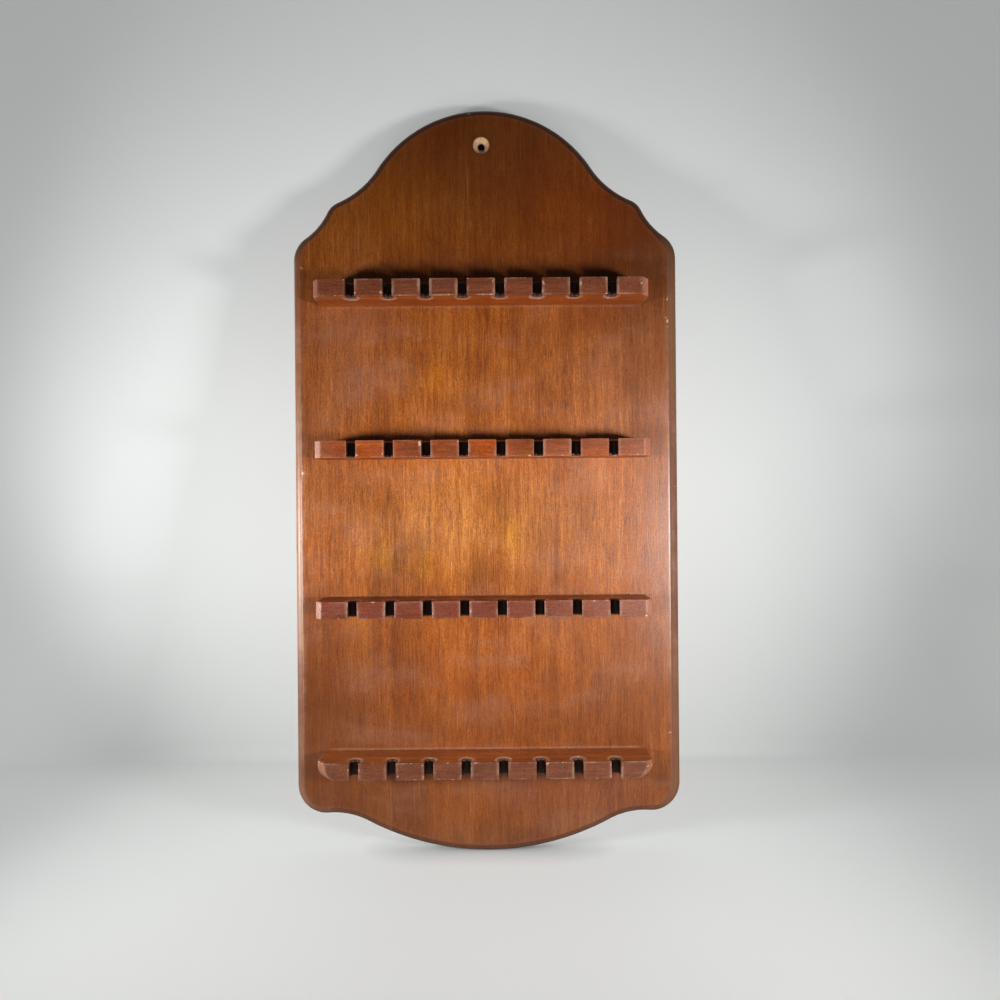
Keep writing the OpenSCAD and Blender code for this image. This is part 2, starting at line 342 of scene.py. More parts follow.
# %% [markdown]
# ## Rings and skins
# The board and the rails are both made the way a joiner thinks of them: a line seen from above,
# repeated at several levels, each level drawn in a little where an edge is eased. Rings of
# points joined by quads give clean edges and a place on every edge to put wear, which cutting
# one solid out of another would not.

# %% Helpers for rings of points
def start_mesh(*marks):
    bm = bmesh.new()
    for name in marks:
        bm.verts.layers.float.new(name)
    return bm


def add_ring(bm, points, **marks):
    """Adds points in order; each mark is a number or one number per point."""
    ring = []
    for i, point in enumerate(points):
        vert = bm.verts.new(point)
        for name, value in marks.items():
            layer = bm.verts.layers.float.get(name)
            vert[layer] = float(value[i]) if hasattr(value, "__len__") else float(value)
        ring.append(vert)
    return ring


def hole_ring(bm, x, z, radius, depth, count, **marks):
    """A ring round a hole at x and z, some depth in from the board's back, in millimetres."""
    points = []
    for turn in 2 * math.pi * np.arange(count) / count:
        across, up = x + radius * math.cos(turn), z + radius * math.sin(turn)
        points.append((across * MM, -depth * MM, up * MM))
    return add_ring(bm, points, **marks)


def join_rings(bm, first, second, closed=True):
    count = len(first)
    for i in range(count if closed else count - 1):
        j = (i + 1) % count
        bm.faces.new((first[i], first[j], second[j], second[i]))


def fill_loops(bm, *rings):
    """Closes a flat face bounded by one ring outside and any number of rings inside."""
    edges = []
    for ring in rings:
        for i, vert in enumerate(ring):
            pair = (vert, ring[(i + 1) % len(ring)])
            edges.append(bm.edges.get(pair) or bm.edges.new(pair))
    bmesh.ops.triangle_fill(bm, use_beauty=True, edges=edges)


def finish_mesh(bm, name, crease=32.0):
    open_edges = sum(1 for edge in bm.edges if len(edge.link_faces) != 2)
    bmesh.ops.recalc_face_normals(bm, faces=bm.faces)
    data = bpy.data.meshes.new(name)
    bm.to_mesh(data)
    bm.free()
    data.shade_smooth()
    data.set_sharp_from_angle(angle=math.radians(crease))
    piece = bpy.data.objects.new(name, data)
    scene.collection.objects.link(piece)
    print(name, "faces", len(data.polygons), "open edges", open_edges)
    return piece


# %% [markdown]
# ## The board's outline
# The outline is a chain of arcs, each touching the next, so it is worked out from the arcs'
# centres and radii and not drawn by hand. Only the right half is found, and the left half is
# its mirror image. Points lie about a millimetre apart, close enough for small nicks.

# %% Helpers for arcs that touch
POINT_STEP = 1.1


def cove_centre(c1, r1, c2, r2, r):
    """Centre of a cove that touches two circles from outside, on the left of the way between."""
    c1, c2 = np.array(c1), np.array(c2)
    gap = np.linalg.norm(c2 - c1)
    along = ((r1 + r) ** 2 - (r2 + r) ** 2 + gap ** 2) / (2 * gap)
    aside = math.sqrt((r1 + r) ** 2 - along ** 2)
    u = (c2 - c1) / gap
    return c1 + along * u + aside * np.array((-u[1], u[0]))


def arc(centre, radius, start, end):
    """Points from start towards end round a centre, the short way, leaving out the end."""
    centre = np.array(centre)
    a = math.atan2(*(np.array(start) - centre)[::-1])
    b = math.atan2(*(np.array(end) - centre)[::-1])
    sweep = (b - a + math.pi) % (2 * math.pi) - math.pi
    count = max(2, int(abs(sweep) * radius / POINT_STEP))
    turns = a + sweep * np.arange(count) / count
    return centre + radius * np.column_stack((np.cos(turns), np.sin(turns)))


def touch(centre, radius, other):
    """The point of a circle that lies nearest to another centre."""
    centre, other = np.array(centre), np.array(other)
    return centre + radius * (other - centre) / np.linalg.norm(other - centre)


# %% Work out the outline
BOARD_X, BOARD_T, HALF_W = 1.8, 12.0, 140.0
ARCH_C, ARCH_R = (0.0, -67.0), 94.0
KNUCKLE_C, KNUCKLE_R = (101.0, -54.0), 16.0
SHOULDER_C, SHOULDER_R = (120.0, -82.0), 20.0
CORNER_C, CORNER_R = (119.0, -466.0), 21.0
FOOT_C, FOOT_R = (0.0, -326.0), 189.0
CREST_COVE_R, NECK_COVE_R, FOOT_COVE_R = 65.0, 49.0, 54.0
SIDE_POINTS = 330

crest_cove_c = cove_centre(ARCH_C, ARCH_R, KNUCKLE_C, KNUCKLE_R, CREST_COVE_R)
neck_cove_c = cove_centre(KNUCKLE_C, KNUCKLE_R, SHOULDER_C, SHOULDER_R, NECK_COVE_R)
foot_cove_c = cove_centre(CORNER_C, CORNER_R, FOOT_C, FOOT_R, FOOT_COVE_R)
stops = [
    (ARCH_C[0], ARCH_C[1] + ARCH_R),
    touch(ARCH_C, ARCH_R, crest_cove_c), touch(KNUCKLE_C, KNUCKLE_R, crest_cove_c),
    touch(KNUCKLE_C, KNUCKLE_R, neck_cove_c), touch(SHOULDER_C, SHOULDER_R, neck_cove_c),
    (HALF_W, SHOULDER_C[1]), (HALF_W, CORNER_C[1]),
    touch(CORNER_C, CORNER_R, foot_cove_c), touch(FOOT_C, FOOT_R, foot_cove_c),
    (FOOT_C[0], FOOT_C[1] - FOOT_R),
]
straight_z = np.linspace(SHOULDER_C[1], CORNER_C[1], SIDE_POINTS, endpoint=False)
right_half = np.vstack([
    arc(ARCH_C, ARCH_R, stops[0], stops[1]),
    arc(crest_cove_c, CREST_COVE_R, stops[1], stops[2]),
    arc(KNUCKLE_C, KNUCKLE_R, stops[2], stops[3]),
    arc(neck_cove_c, NECK_COVE_R, stops[3], stops[4]),
    arc(SHOULDER_C, SHOULDER_R, stops[4], stops[5]),
    np.column_stack((np.full(SIDE_POINTS, HALF_W), straight_z)),
    arc(CORNER_C, CORNER_R, stops[6], stops[7]),
    arc(foot_cove_c, FOOT_COVE_R, stops[7], stops[8]),
    arc(FOOT_C, FOOT_R, stops[8], stops[9]),
    [stops[9]],
])
outline = np.vstack([right_half, right_half[-2:0:-1] * (-1, 1)])
ahead = np.roll(outline, -1, 0) - np.roll(outline, 1, 0)
ahead /= np.linalg.norm(ahead, axis=1)[:, None]
inwards = np.column_stack((ahead[:, 1], -ahead[:, 0]))
outline[:, 0] += BOARD_X
print("outline points", len(outline), "box", outline.min(0), outline.max(0))

# %% [markdown]
# ## The backboard
# The board is one piece of wood, 12 mm thick. A round-over with a small step runs round the
# front edge, a little wider along the sides, and the back edge is only eased. Each ring of the
# section is the outline drawn in by some millimetres at some depth. The hanging hole and the
# screw holes are rings too, and the two flat faces are filled between all of them.

# %% Draw the board's section
EDGE_R, EDGE_STEP, EDGE_TURNS = 4.6, 0.4, 10
OUTER_BAND = 2.6
# The moulding is wider along the two sides than round the crest and the foot, most on the right
LEFT_WIDER, RIGHT_WIDER = 0.10, 0.35
SIDE_FROM, SIDE_FADE = 126, 12

# Each ring is how far in from the outline, how far from the back, how near an edge, how moulded
board_section = [(2.2, 0.0, 0, 0), (0.70, 0.0, 0.4, 0), (0.20, 0.20, 1, 0.5), (0.0, 0.70, 0.5, 1),
                 (0.0, 2.5, 0, 1), (0.0, 4.5, 0, 1)]
for i in range(EDGE_TURNS + 1):
    turn = math.radians(90 * i / EDGE_TURNS)
    depth = BOARD_T - EDGE_STEP - EDGE_R + EDGE_R * math.sin(turn)
    board_section.append((EDGE_R * (1 - math.cos(turn)), depth, 0.35 if 2 < i < 9 else 0.1, 1))
board_section += [(4.70, 11.66, 0.4, 1), (4.78, 11.84, 1, 0.9), (4.92, 11.96, 1, 0.6),
                  (5.15, 12.0, 0.9, 0.25), (6.0, 12.0, 0.45, 0), (8.0, 12.0, 0, 0)]
on_side = np.clip((np.abs(outline[:, 0]) - SIDE_FROM) / SIDE_FADE, 0, 1)
on_side = on_side ** 2 * (3 - 2 * on_side)
widths = 1 + on_side * np.where(outline[:, 0] < 0, LEFT_WIDER, RIGHT_WIDER)


def board_points(inset, depth):
    flat = outline + inwards * (inset * widths)[:, None]
    return [(x * MM, -depth * MM, z * MM) for x, z in flat]


print("rings of the board", len(board_section))

# %% Make the board
SCREW_X = (-78.4, 77.6)
RAIL_Z = [-110.7 - 111.7 * row for row in range(4)]
HANGING_POINTS, SCREW_POINTS = 64, 28
SCREW_BORE_R = 1.85
# Each ring of the hanging hole is its radius, how far from the back, how raw and how much painted
# shade it has
HANGING_HOLE = [
    (2.45, 0.0, 0, 0), (2.1, 0.35, 0, 1), (2.1, 8.15, 0, 1), (2.26, 8.45, 0.2, 0.9),
    (2.73, 8.9, 0.8, 0.3), (3.26, 9.4, 1, 0), (5.4, 11.43, 1, 0), (5.75, 11.76, 0.7, 0),
    (6.02, 11.93, 0.2, 0), (6.3, 12.0, 0, 0), (6.9, 12.0, 0, 0)]
# Each ring of a screw hole is its radius, how far from the back and how raw
SCREW_HOLE = [
    (3.75, 0.0, 0), (3.6, 0.15, 0.5), (3.6, 0.3, 0.8), (SCREW_BORE_R, 2.05, 0.8),
    (SCREW_BORE_R, BOARD_T, 0)]

bm = start_mesh("arris", "moulded", "outer", "raw", "bored")
rings = [add_ring(bm, board_points(inset, depth), arris=near, moulded=moulded,
                  outer=moulded * max(0.0, 1 - inset / OUTER_BAND))
         for inset, depth, near, moulded in board_section]
hanging = [hole_ring(bm, 0, 0, radius, depth, HANGING_POINTS, raw=raw, bored=bored)
           for radius, depth, raw, bored in HANGING_HOLE]
screw_holes = [[hole_ring(bm, x, z, radius, depth, SCREW_POINTS, raw=raw)
                for radius, depth, raw in SCREW_HOLE] for z in RAIL_Z for x in SCREW_X]
for skin in [rings, hanging] + screw_holes:
    for first, second in zip(skin, skin[1:]):
        join_rings(bm, first, second)
for end in (0, -1):
    fill_loops(bm, rings[end], hanging[end], *[hole[end] for hole in screw_holes])
backboard = finish_mesh(bm, "rack_backboard")

# %% [markdown]
# ## The rails
# Each rail is a bar with eight slots. A slot was drilled, countersunk from above and below and
# sawn open to the front, so at each level its outline is a round hole with two straight sides,
# and near the faces a wider circle. Seen from above, the rail's whole outline is drawn at each
# level: straight lands, slots, and the chamfered ends. Smoothing each ring a little eases the
# upright corners, as sandpaper does.

# %% Draw a rail's outline at one level
RAIL_X, RAIL_L, RAIL_D, RAIL_T = -0.4, 234.0, 26.0, 12.0
SLOT_W, SLOT_BACK, SLOT_SINK_D, SLOT_SINK = 6.4, 5.2, 11.4, 1.2
SLOT_X = [-91.0 + 26.0 * i for i in range(8)]
SLOT_POINTS, LAND_POINTS, END_POINTS, CHAMFER_POINTS = 46, 36, 26, 10


def line_points(start, end, count):
    """Points from start towards end, leaving out the end."""
    share = np.arange(count)[:, None] / count
    return np.array(start) + (np.array(end) - np.array(start)) * share


def slot_points(x, hole_r, half_w, front):
    """Points round one slot, from its mouth's left corner round the hole to the right corner."""
    hole_y = RAIL_D - SLOT_BACK
    mouth = math.atan2(half_w, front - hole_y)
    turns = np.linspace(mouth, 2 * math.pi - mouth, SLOT_POINTS)
    wall = np.where(np.cos(turns) > 0, half_w / np.maximum(np.abs(np.sin(turns)), 1e-6), half_w)
    radius = np.maximum(wall, hole_r)
    return np.column_stack((x - radius * np.sin(turns), hole_y + radius * np.cos(turns)))


def rail_outline(draw_in, sink_r, slot_ease, chamfers, shorter=0.0):
    """The rail seen from above: x along it and the distance from the board."""
    half, front = RAIL_L / 2 - draw_in - shorter, RAIL_D - draw_in
    left_cut, right_cut = chamfers
    parts = [line_points((-half, 0), (-half, front - left_cut), END_POINTS),
             line_points((-half, front - left_cut), (left_cut - half, front), CHAMFER_POINTS)]
    corner = np.array((left_cut - half, front))
    for x in SLOT_X:
        slot = slot_points(x, max(SLOT_W / 2, sink_r) + slot_ease, SLOT_W / 2 + slot_ease, front)
        parts += [line_points(corner, slot[0], LAND_POINTS), slot[:-1]]
        corner = slot[-1]
    parts += [line_points(corner, (half - right_cut, front), LAND_POINTS),
              line_points((half - right_cut, front), (half, front - right_cut), CHAMFER_POINTS),
              line_points((half, front - right_cut), (half, 0), END_POINTS + 1)]
    return np.vstack(parts + [[(half, 0)]])


def smooth_line(points):
    """Eases the corners of an open line whose ends stay where they are."""
    points[1:-1] = 0.5 * points[1:-1] + 0.25 * (points[:-2] + points[2:])
    return points


print("points round a rail", len(rail_outline(0, 0, 0, (0, 0))))

# %% [markdown]
# The levels lie close together near the upper and lower face, where the edges are eased and the
# countersinks open, and far apart between. Each point also gets marks for the finish: how sharp
# its corner is, and whether it lies in a slot, on a countersink or on a chamfered end.

# %% Find a rail's levels and marks
# Each level is how far above the lower face, how far drawn in, how eased its slots, how near an edge
LEVELS = [
    (0, 1.20, 0.70, 0), (0, 0.42, 0.24, 0.8), (0.03, 0.28, 0.15, 1), (0.10, 0.14, 0.07, 1),
    (0.22, 0.05, 0.02, 0.9), (0.40, 0.01, 0, 0.6), (0.8, 0, 0, 0.3), (1.15, 0, 0, 0.1),
    (1.45, 0, 0, 0), (1.65, 0, 0, 0), (2.4, 0, 0, 0), (3.4, 0, 0, 0), (4.7, 0, 0, 0)]
LEAST_BEND, BEND_GAIN = 0.14, 3.5


def rail_levels():
    """Height, drawing in, sink radius, easing and edge mark of every level, upwards."""
    lower = []
    for below, draw_in, ease, edge in LEVELS:
        open_share = max(0.0, 1 - below / SLOT_SINK)
        sink_r = SLOT_W / 2 + (SLOT_SINK_D - SLOT_W) / 2 * open_share
        lower.append((below - RAIL_T / 2, draw_in, sink_r, ease, edge))
    middle = [(0.0, 0.0, SLOT_W / 2, 0.0, 0.0)]
    upper = [(-level[0], *level[1:]) for level in reversed(lower)]
    return lower + middle + upper


def rounded_off(level, radius):
    """How much shorter a rail is at a level whose lower corners have a radius."""
    below = radius - RAIL_T / 2 - level
    return radius - math.sqrt(radius ** 2 - below ** 2) if radius and below > 0 else 0.0


def corner_marks(plan):
    """How sharply the outline turns at each point, spread to the points beside it."""
    ahead = plan[2:] - plan[1:-1]
    behind = plan[1:-1] - plan[:-2]
    cross = behind[:, 0] * ahead[:, 1] - behind[:, 1] * ahead[:, 0]
    size = np.linalg.norm(ahead, axis=1) * np.linalg.norm(behind, axis=1)
    bend = np.zeros(len(plan))
    bend[1:-1] = np.abs(cross) / np.maximum(size, 1e-9)
    corner = np.clip((bend - LEAST_BEND) * BEND_GAIN, 0, 1)
    for _ in range(2):
        corner = np.maximum(corner, 0.75 * np.maximum(np.roll(corner, 1), np.roll(corner, -1)))
    return corner


def slot_marks(plan, level):
    """Which points lie inside a slot, and which on its countersink, with margins in millimetres."""
    inside, sink = np.zeros(len(plan)), np.zeros(len(plan))
    from_face = RAIL_T / 2 - abs(level)
    for x in SLOT_X:
        near = np.hypot(plan[:, 0] - x, plan[:, 1] - RAIL_D + SLOT_BACK) < SLOT_SINK_D / 2 + 0.5
        inside[near & (np.abs(plan[:, 0] - x) < SLOT_W / 2 + 0.3)] = from_face > 0.6
        sink[near & (plan[:, 1] < RAIL_D - 1.5)] = from_face < 0.5
    return inside * np.clip((RAIL_D - 0.25 - plan[:, 1]) / 0.9, 0, 1), sink


def facet_marks(plan, chamfers, shorter):
    """Which points lie on a chamfered end."""
    from_end = RAIL_L / 2 - shorter - np.abs(plan[:, 0])
    cut = np.where(plan[:, 0] < 0, *chamfers)
    return np.clip(np.minimum(cut - from_end, plan[:, 1] - RAIL_D + cut) / 0.5, 0, 1)


print("levels of a rail", len(rail_levels()))

# %% [markdown]
# The back of a rail stays flat, with two pilot holes for the screws. Each rail gets its own
# chamfers and its own seed of wear, because they were sanded by hand and no two in the
# photograph are alike. Only the bottom rail has rounded lower corners.

# %% Make the rails
PILOT_DEPTH, PILOT_TIP = 13.0, 18.1
RAIL_NODES = ["top_rail", "upper_rail", "lower_rail", "bottom_rail"]
CHAMFERS = [(4.2, 5.6), (4.6, 4.4), (4.4, 4.0), (5.4, 4.6)]
CORNERS = [0.0, 0.0, 0.0, 9.0]


def pilot_hole(bm, x, z):
    """Bores a hole with a pointed end into a rail and returns the ring of its mouth."""
    mouth, bottom = [hole_ring(bm, x, z, SCREW_BORE_R, BOARD_T + depth, SCREW_POINTS)
                     for depth in (0.0, PILOT_DEPTH)]
    join_rings(bm, mouth, bottom)
    tip = bm.verts.new((x * MM, -(BOARD_T + PILOT_TIP) * MM, z * MM))
    for i, vert in enumerate(bottom):
        bm.faces.new((vert, bottom[(i + 1) % len(bottom)], tip))
    return mouth


def make_rail(name, z, chamfers, corner_r):
    bm = start_mesh("arris", "inside", "sink", "facet")
    rings = []
    for level, draw_in, sink_r, ease, face_edge in rail_levels():
        shorter = rounded_off(level, corner_r)
        plan = smooth_line(rail_outline(draw_in, sink_r, ease, chamfers, shorter))
        at_edge = draw_in < 1
        arris = np.maximum(corner_marks(plan) * at_edge, face_edge)
        out_front = np.clip((plan[:, 1] - 4) / 6, 0, 1)
        inside, sink = slot_marks(plan, level)
        facet = facet_marks(plan, chamfers, shorter)
        points = [((RAIL_X + x) * MM, -(BOARD_T + depth) * MM, (z + level) * MM) for x, depth in plan]
        rings.append(add_ring(bm, points, arris=arris * out_front, inside=inside,
                              sink=sink * at_edge, facet=facet * at_edge))
    for first, second in zip(rings, rings[1:]):
        join_rings(bm, first, second, closed=False)
    fill_loops(bm, rings[0])
    fill_loops(bm, rings[-1])
    back = [ring[0] for ring in rings] + [ring[-1] for ring in rings[::-1]]
    fill_loops(bm, back, *[pilot_hole(bm, x, z) for x in SCREW_X])
    return finish_mesh(bm, name)


rails = [make_rail("rack_" + node, z, cut, corner_r)
         for node, z, cut, corner_r in zip(RAIL_NODES, RAIL_Z, CHAMFERS, CORNERS)]

# %% [markdown]
# ## Stain and grain
# The wood is a straight-grained hardwood with a reddish-brown stain under a satin varnish. Each
# layer of it is a noise stretched along the grain: slow bands and mottle, streaks and fine
# fibres make the tone, and short dark pores, glints and specks lie over it. The grain runs up
# the board and along the rails, so the direction is an input. Rubbed edges and nicks come from
# the values on the mesh.

# %% Mix the wood
RAW_WOOD = (0.68, 0.42, 0.26)
RUBBED_WOOD = (0.50, 0.27, 0.18)
PORE = (0.085, 0.020, 0.004)
GLINT = (1.35, 1.55, 1.70)


def wood_layers(finish, along, tones, seed):
    """Stained wood whose grain runs along one axis; returns its colour, pores and fibres."""
    def grain(squeeze, *noise):
        scale = [1.0, 1.0, 1.0]
        scale[along] = squeeze
        place = finish.stretch(wandering, scale, shift=(seed, seed * 0.7, seed * 1.3))
        return finish.noise(place, *noise)

    wandering = finish.sway(finish.place, 9.0, 0.006)
    bands = grain(0.14, 22.0, 2.0, 0.5)
    mottle = grain(0.55, 55.0, 3.0, 0.55)
    streaks = grain(0.020, 210.0, 4.0, 0.62)
    fibres = grain(0.060, 1150.0, 2.0, 0.65)
    pores = grain(0.09, 1300.0, 1.0, 0.5)
    glints = grain(0.045, 700.0, 1.0, 0.5)
    specks = grain(0.40, 1800.0, 2.0, 0.6)
    tone = finish.times(bands, 0.24)
    for layer, share in ((mottle, 0.22), (streaks, 0.26), (fibres, 0.28)):
        tone = finish.math("ADD", tone, finish.times(layer, share))
    pore_share = finish.step(pores, 0.58, 0.70, 0.0, 0.42)
    colour = finish.mix(pore_share, finish.ramp(tone, tones), PORE)
    colour = finish.mix(finish.step(glints, 0.62, 0.74, 0.0, 0.60), colour, GLINT, "MULTIPLY")
    colour = finish.mix(1.0, colour, finish.step(specks, 0.30, 0.70, 0.70, 1.30), "MULTIPLY")
    return colour, pore_share, fibres


def wear_layers(finish, colour, rub):
    """Pale rubbed edges and raw nicks over the stain."""
    patchy = finish.noise(finish.place, 60.0, 5.0, 0.7)
    rubbed = finish.times(finish.mark("arris"), finish.step(patchy, 0.42, 0.66, 0.06, rub))
    colour = finish.mix(rubbed, colour, RUBBED_WOOD)
    return finish.mix(finish.step(finish.mark("worn"), 0.12, 0.40), colour, RAW_WOOD)


# %% [markdown]
# ## The board's stain
# The board is darkest at the crest and the foot, and it has lighter and darker patches that no
# noise would put in the right place. So they are round spots given one by one, and only the amber
# cloud between them is a noise. Places are x and z in metres from the hanging hole.

# %% Stain the board
BOARD_TONES = [(0.38, (0.20, 0.045, 0.006)), (0.50, (0.41, 0.108, 0.015)), (0.60, (0.60, 0.185, 0.034))]
CREST_DARK_TONE, FOOT_DARK_TONE = (0.115, 0.024, 0.003), (0.20, 0.052, 0.014)
DARK_STAIN = (0.11, 0.024, 0.004)
AMBER = (1.25, 1.20, 0.75)
# Each patch of darker stain is its place, its reach and how much it darkens
DARK_PATCHES = [
    ((-0.15, -0.4), (0.13, 0.15), 0.7), ((-0.145, -0.2), (0.07, 0.11), 0.5),
    ((0.125, -0.08), (0.11, 0.08), 0.6), ((0.135, -0.16), (0.05, 0.08), 0.4),
    ((-0.1, -0.48), (0.11, 0.06), 0.4), ((-0.006, -0.314), (0.02, 0.024), 0.3),
    ((0.027, -0.317), (0.016, 0.018), 0.26), ((-0.02, -0.19), (0.03, 0.02), 0.22)]
# Each tinted patch is its place, its reach and what the stain is multiplied by
TINTED_PATCHES = [
    ((-0.075, -0.045), (0.085, 0.08), (1.45, 1.6, 1.2)),
    ((0.075, -0.045), (0.07, 0.06), (1.18, 0.98, 0.7)),
    ((0.0, -0.075), (0.12, 0.03), (0.93, 0.84, 0.7)),
    ((-0.01, -0.275), (0.15, 0.08), (1.05, 1.3, 1.9)),
    ((0.0, -0.385), (0.1, 0.05), (1.18, 1.12, 1.0)),
    ((0.085, -0.49), (0.07, 0.06), (1.0, 1.14, 2.2)),
    ((0.0, -0.515), (0.1, 0.032), (0.8, 0.92, 1.3)),
    ((-0.034, -0.165), (0.012, 0.026), (1.18, 1.26, 0.7)),
    ((0.019, -0.284), (0.017, 0.024), (1.16, 1.24, 0.65)),
    ((-0.073, -0.3), (0.016, 0.024), (1.1, 1.25, 0.55)),
    ((-0.044, -0.304), (0.01, 0.02), (1.1, 1.22, 0.55))]

board = Finish("board_stain")
stain_and_painted_light, pores, fibres = wood_layers(board, 2, BOARD_TONES, 0.0)
x, y, z = board.axes(board.place)
# Darker towards the crest and towards the foot.
stain_and_painted_light = board.mix(board.step(z, -0.24, 0.0, 0.0, 0.80), stain_and_painted_light, CREST_DARK_TONE)
stain_and_painted_light = board.mix(board.step(z, -0.24, -0.50, 0.0, 0.55), stain_and_painted_light, FOOT_DARK_TONE)
for at, reach, share in DARK_PATCHES:
    stain_and_painted_light = board.mix(board.times(board.spot(at, reach), share), stain_and_painted_light, DARK_STAIN)
for at, reach, tint in TINTED_PATCHES:
    stain_and_painted_light = board.mix(board.spot(at, reach), stain_and_painted_light, tint, "MULTIPLY")
amber_place = board.stretch(board.place, (1.0, 1.0, 0.5), shift=(3, 0, 7))
amber = board.step(board.noise(amber_place, 17.0, 3.0), 0.48, 0.68, 0.0, 0.40)
amber = board.times(amber, board.step(z, -0.02, -0.18, 0.1, 1.0))
stain_and_painted_light = board.mix(amber, stain_and_painted_light, AMBER, "MULTIPLY")
print("patches of stain", len(DARK_PATCHES), "tinted", len(TINTED_PATCHES))

# %% [markdown]
# ## The old varnish
# Old varnish goes cloudy. Here it does so in patches, most of all near the right edge, where the
# pale bloom is a painted sheen standing in for the right lamp's reflection, and the largest cloudy
# patch there is painted sheen too. A fine speckle breaks the clouds up, so that the grain still
# shows through.

# %% Cloud the varnish
HAZE_AND_SHEEN, PAINTED_SHEEN = (0.42, 0.215, 0.145), (0.50, 0.385, 0.35)
PAINTED_SHEEN_AT, PAINTED_SHEEN_REACH, PAINTED_SHEEN_SHARE = (0.150, -0.29), (0.055, 0.14), 0.38
# Each cloudy patch of varnish is its place, its reach and how much it shows; the first, near the
# right edge, is painted sheen
CLOUDY_AND_SHEEN_PATCHES = [
    ((0.15, -0.27), (0.16, 0.22), 0.37), ((-0.095, -0.172), (0.028, 0.03), 0.26),
    ((-0.064, -0.167), (0.024, 0.021), 0.22), ((-0.1, -0.13), (0.06, 0.04), 0.25)]

front = board.step(y, -0.0085, -0.0105)
haze_cloud = board.noise(board.stretch(board.place, (0.7, 1.0, 1.6)), 24.0, 5.0, 0.62)
speckle = board.noise(board.place, 900.0, 3.0, 0.7)
haze = board.times(board.step(haze_cloud, 0.48, 0.76, 0.0, 0.30), board.step(z, -0.02, -0.16))
for at, reach, share in CLOUDY_AND_SHEEN_PATCHES:
    haze = board.math("ADD", haze, board.times(board.spot(at, reach), share))
haze = board.math("MULTIPLY", haze, board.step(speckle, 0.34, 0.66, 0.35, 1.0), clamp=True)
# Cloudy varnish, and painted sheen where the right lamp reflects near the right edge.
stain_and_painted_light = board.mix(board.times(haze, front), stain_and_painted_light, HAZE_AND_SHEEN)
# A pale painted sheen near the right edge, standing in for the right lamp's reflection.
painted_sheen = board.times(board.times(board.spot(PAINTED_SHEEN_AT, PAINTED_SHEEN_REACH), PAINTED_SHEEN_SHARE), front)
painted_sheen = board.times(painted_sheen, board.step(speckle, 0.34, 0.66, 0.5, 1.0))
stain_and_painted_light = board.mix(painted_sheen, stain_and_painted_light, PAINTED_SHEEN)
print("cloudy patches", len(CLOUDY_AND_SHEEN_PATCHES))

# %% [markdown]
# ## The moulded edge
# The moulding is painted dark round the crest and the foot as shade, and nearly black on its
# outer face as painted shadow, least at the middle height. Along the sides it is painted as the
# side lamps light it: pale on the left, where it is also scuffed by hands, dull and brown on the
# right as painted shade, with one painted highlight on the right arris. The marks on the mesh say
# where the moulding is.

# %% Finish the moulding
RIM_SHADE, OUTER_SHADOW = (0.070, 0.028, 0.016), (0.020, 0.011, 0.007)
RIGHT_SHADE_ENDS, RIGHT_SHADE_MIDDLE = (0.25, 0.120, 0.068), (0.115, 0.047, 0.029)
SCUFFED_AND_LIT, ARRIS_HIGHLIGHT = (0.49, 0.28, 0.175), (0.70, 0.52, 0.46)

moulded = board.mark("moulded")
mid_height = board.spot((0.0, -0.29), (1.0, 0.20))
from_middle = board.math("ABSOLUTE", x)
side = board.times(board.step(from_middle, 0.126, 0.134), board.step(z, -0.045, -0.115))
side = board.times(side, moulded)
# Painted shade on the moulding, strongest round the crest and the foot; at the foot it stands in for
# the contact shadow on the floor.
at_crest, at_foot = board.step(z, -0.30, -0.02, 0.30, 0.80), board.step(z, -0.45, -0.51, 0.30, 0.52)
rim = board.times(board.math("MAXIMUM", at_crest, at_foot), moulded)
rim = board.times(rim, board.step(side, 0.0, 1.0, 1.0, 0.0))
stain_and_painted_light = board.mix(rim, stain_and_painted_light, RIM_SHADE)
# Painted shade on the right side of the moulding, darkest at the middle height where the right lamp
# lights it most.
right_side = board.times(side, board.step(x, 0.0, 0.1))
right_shade = board.mix(mid_height, RIGHT_SHADE_ENDS, RIGHT_SHADE_MIDDLE)
stain_and_painted_light = board.mix(board.times(right_side, 0.85), stain_and_painted_light, right_shade)
# Painted shadow on the moulding's outer face, standing in for the shadow on the cloth just beyond the
# board, strongest away from the middle height.
outer = board.times(board.mark("outer"), board.step(mid_height, 0.0, 0.8, 0.85, 0.1))
outer = board.times(outer, board.step(side, 0.0, 1.0, 1.0, 0.3))
stain_and_painted_light = board.mix(outer, stain_and_painted_light, OUTER_SHADOW)
# The left side of the moulding is scuffed pale and also painted lighter, as lit by the left lamp.
scuffed_and_lit = board.times(board.spot((-0.140, -0.30), (0.05, 0.34)), moulded)
scuffed_and_lit = board.times(scuffed_and_lit, board.step(haze_cloud, 0.30, 0.60, 0.28, 0.74))
stain_and_painted_light = board.mix(scuffed_and_lit, stain_and_painted_light, SCUFFED_AND_LIT)
# A painted highlight along the right arris at the middle height.
arris_highlight = board.times(board.step(board.mark("arris"), 0.45, 0.95),
                          board.spot((0.134, -0.284), (0.020, 0.100)))
stain_and_painted_light = board.mix(arris_highlight, stain_and_painted_light, ARRIS_HIGHLIGHT)
print("board nodes so far", len(board.tree.nodes))

# %% [markdown]
# ## Marks of use
# Last come the marks of use: pale lines of old varnish beside the rails, whose paleness is a
# painted highlight, fine slanting scratches, rubbed edges, and a dark smudge round the hanging
# hole, whose countersink is bare wood and whose bore is painted near black as shade. The
# varnish is duller at the crest and on the right side, and its shine is broken up by the pores.

